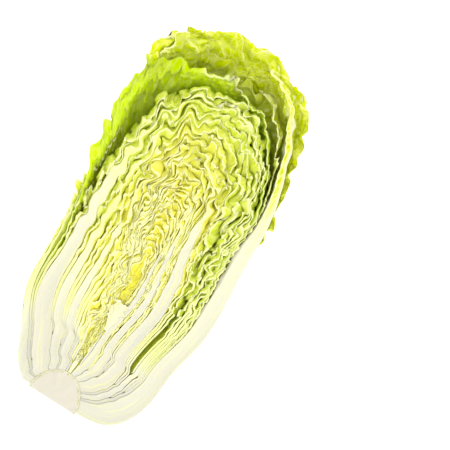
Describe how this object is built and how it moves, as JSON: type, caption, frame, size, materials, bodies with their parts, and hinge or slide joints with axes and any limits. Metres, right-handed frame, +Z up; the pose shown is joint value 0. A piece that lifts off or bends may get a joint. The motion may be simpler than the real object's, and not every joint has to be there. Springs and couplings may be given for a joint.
{
  "type": "napa cabbage",
  "caption": "Half of a napa cabbage, cut lengthwise through its stem. It lies on its round back with the cut face of nested, wavy-edged leaves facing up.",
  "frame": {"origin": "on the resting surface, under the head's widest part, 160 mm from the trimmed end of the stem", "axes": "+Y from the trimmed stem towards the leaf tips, +Z up out of the cut face, +X to the right with the tips pointing away"},
  "size_m": [0.1681, 0.336, 0.074],
  "materials": {
    "stem": "moist cut stem, cream white, fibrous",
    "outer": "outer leaf, satin, yellow-green blade with white midrib and pale veins",
    "bowl": "cupped leaf round the head, satin, fresh green with a pale cut rim",
    "head": "head leaf, satin, pale yellow blade with white midrib and pale moist cut edge",
    "heart": "young heart leaf, satin, butter yellow"
  },
  "bodies": {
    "root": {"stem_core": "stem", "heart_bud": "heart", "wrapper_leaf_back": "outer", "wrapper_leaf_left": "outer", "wrapper_leaf_right": "outer", "wrapper_leaf_side": "outer", "bowl_leaf": "bowl", "head_leaf_01": "head", "head_leaf_02": "head", "head_leaf_03": "head", "head_leaf_04": "head", "head_leaf_05": "head", "head_leaf_06": "head", "head_leaf_07": "head", "head_leaf_08": "head", "head_leaf_09": "head", "head_leaf_10": "head", "head_leaf_11": "heart", "head_leaf_12": "heart", "head_leaf_13": "heart", "head_leaf_14": "heart"}
  },
  "joints": []
}
